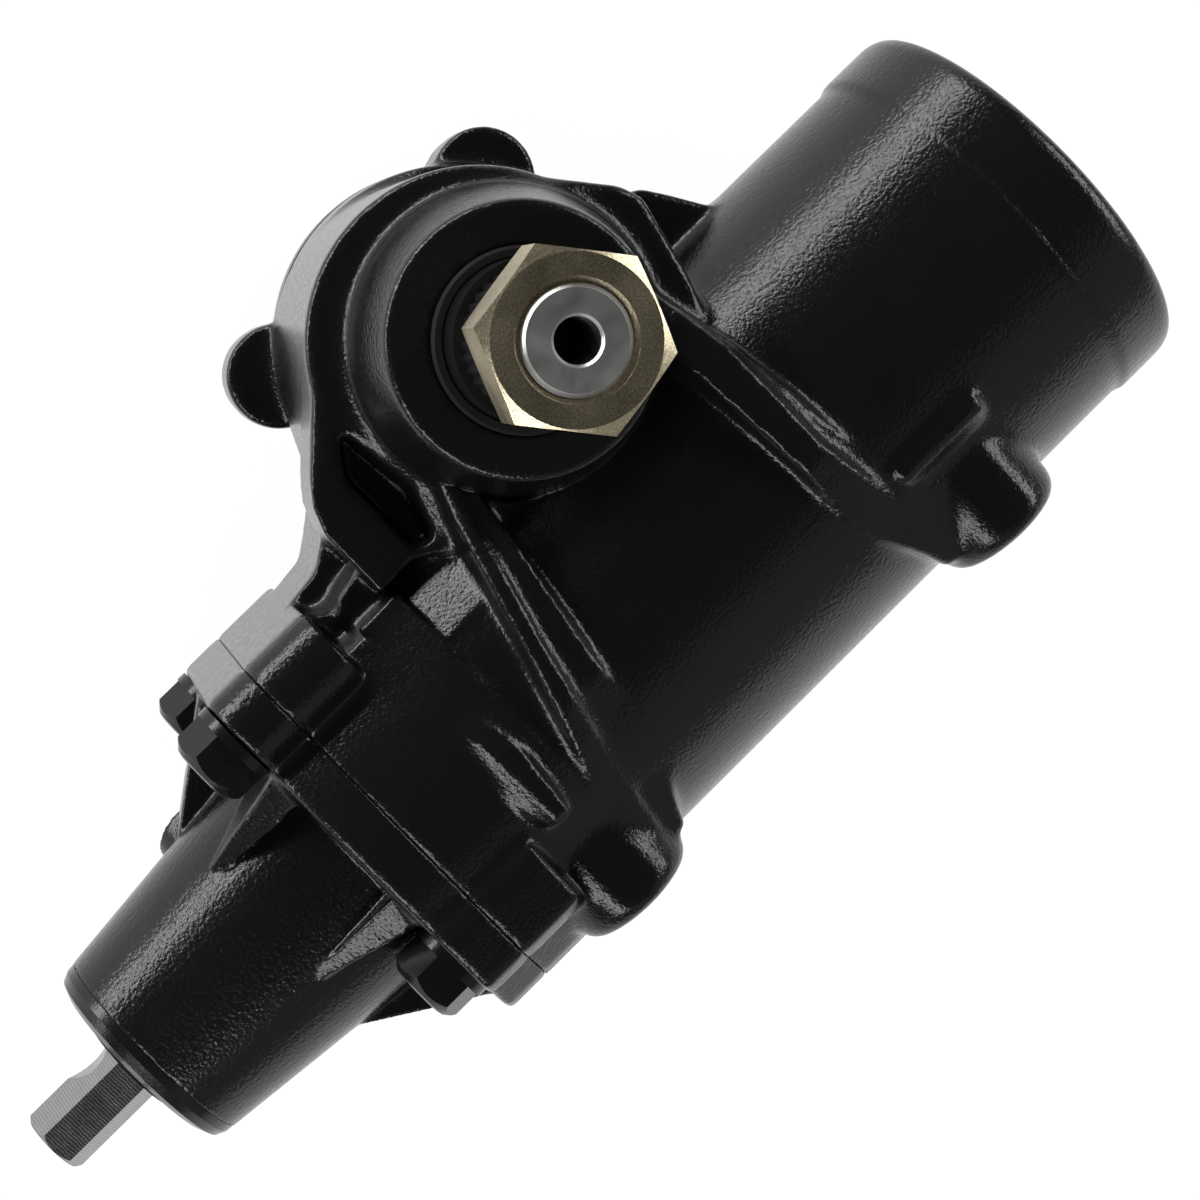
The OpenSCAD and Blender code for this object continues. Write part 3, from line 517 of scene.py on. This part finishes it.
# edges broken on the machined pieces
brokenEdges = {
    "valve_housing_bolts": 0.0008, "side_cover_bolts": 0.0006, "pitman_nut": 0.0005,
    "adjuster_locknut": 0.0004, "input_shaft": 0.0006, "input_end_cap": 0.0006, "end_plug": 0.0005,
}
edgeBreak = {"segments": 2, "sharperThan": 28.0}


def breakEdges(node, width, s):
    mod = nodes[node].modifiers.new("brokenEdges", "BEVEL")
    mod.width = width
    mod.segments = s["segments"]
    mod.limit_method = "ANGLE"
    mod.angle_limit = math.radians(s["sharperThan"])


for node, width in brokenEdges.items():
    breakEdges(node, width, edgeBreak)
print("edges broken on", len(brokenEdges), "pieces")


# floor and walls of the studio
studio = {
    "floorZ": -0.1279, "floorHalf": 12.0,
    "dark": (0.80, 0.80, 0.80), "pale": (0.84, 0.84, 0.84), "grainScale": 40.0, "rough": 0.9,
    "paperShare": 0.88, "paperWhite": 1.08,
    "horizon": 0.35, "horizonFrom": 0.02, "horizonTop": 0.30, "ceiling": 0.04,
}
white = (1.0, 1.0, 1.0, 1.0)


def showWhite(tree, plain, s):
    # the camera, glossy and clear rays see white paper, with a share of the plain floor for its shadow
    path = addNode(tree, "ShaderNodeLightPath")
    seen = path.outputs["Is Camera Ray"]
    for ray in ("Is Glossy Ray", "Is Transmission Ray"):
        either = addNode(tree, "ShaderNodeMath", operation="MAXIMUM")
        tree.links.new(seen, either.inputs[0])
        tree.links.new(path.outputs[ray], either.inputs[1])
        seen = either.outputs[0]
    share = addNode(tree, "ShaderNodeMath", operation="MULTIPLY")
    share.inputs[1].default_value = s["paperShare"]
    tree.links.new(seen, share.inputs[0])
    paper = addNode(tree, "ShaderNodeEmission")
    paper.inputs["Color"].default_value = white
    paper.inputs["Strength"].default_value = s["paperWhite"]
    mix = addNode(tree, "ShaderNodeMixShader")
    tree.links.new(share.outputs[0], mix.inputs[0])
    tree.links.new(plain, mix.inputs[1])
    tree.links.new(paper.outputs[0], mix.inputs[2])
    return mix.outputs[0]


def addFloor(s):
    h, z = s["floorHalf"], s["floorZ"]
    mesh = bpy.data.meshes.new("studioFloor")
    mesh.from_pydata([(-h, -h, z), (h, -h, z), (h, h, z), (-h, h, z)], [], [(0, 1, 2, 3)])
    floor = bpy.data.objects.new("studioFloor", mesh)
    addToScene(floor)
    mat, tree, shader = newMaterial("floorPaper")
    grain = noise(tree, s["grainScale"], "fine")
    tree.links.new(twoTone(tree, grain, s), shader.inputs["Base Color"])
    shader.inputs["Roughness"].default_value = s["rough"]
    out = tree.nodes["Material Output"]
    tree.links.new(showWhite(tree, shader.outputs[0], s), out.inputs["Surface"])
    mesh.materials.append(mat)


def setWorld(s):
    world = bpy.data.worlds.new("studioWorld")
    bpy.context.scene.world = world
    world.use_nodes = True
    tree = world.node_tree
    tree.nodes.clear()
    place = addNode(tree, "ShaderNodeTexCoord")
    split = addNode(tree, "ShaderNodeSeparateXYZ")
    tree.links.new(place.outputs["Generated"], split.inputs[0])
    # pale walls round the object and a dark ceiling
    wall = ramp(tree, split.outputs["Z"], s["horizon"], s["ceiling"], s["horizonFrom"], s["horizonTop"])
    room = addNode(tree, "ShaderNodeBackground")
    room.inputs["Color"].default_value = white
    tree.links.new(wall, room.inputs["Strength"])
    out = addNode(tree, "ShaderNodeOutputWorld")
    tree.links.new(room.outputs[0], out.inputs["Surface"])


# softboxes, with their power in watts
softboxes = {
    "keyBox": {"place": (-0.32, 1.90, 0.37), "aim": (0.0, 0.10, 0.0),
               "width": 3.5, "height": 0.40, "power": 52.0},
    "leftBox": {"place": (-1.2, -0.25, 1.0), "aim": (0.0, 0.05, 0.0),
                "width": 1.6, "height": 0.35, "power": 16.0},
    "rightBox": {"place": (1.4, -0.25, 0.8), "aim": (0.05, 0.05, 0.0),
                 "width": 1.6, "height": 0.35, "power": 14.0},
    "fillBox": {"place": (0.2, -1.7, 1.1), "aim": (0.0, 0.0, 0.0),
                "width": 2.4, "height": 1.4, "power": 2.9},
}


def addSoftbox(name, s):
    data = bpy.data.lights.new(name, "AREA")
    data.shape = "RECTANGLE"
    data.size = s["width"]
    data.size_y = s["height"]
    data.energy = s["power"]
    box = bpy.data.objects.new(name, data)
    addToScene(box)
    box.location = s["place"]
    box.rotation_euler = (Vector(s["aim"]) - Vector(s["place"])).to_track_quat("-Z", "Y").to_euler()


addFloor(studio)
setWorld(studio)
for name, s in softboxes.items():
    addSoftbox(name, s)
bpy.context.scene.view_settings.view_transform = "Standard"
print("studio ready")
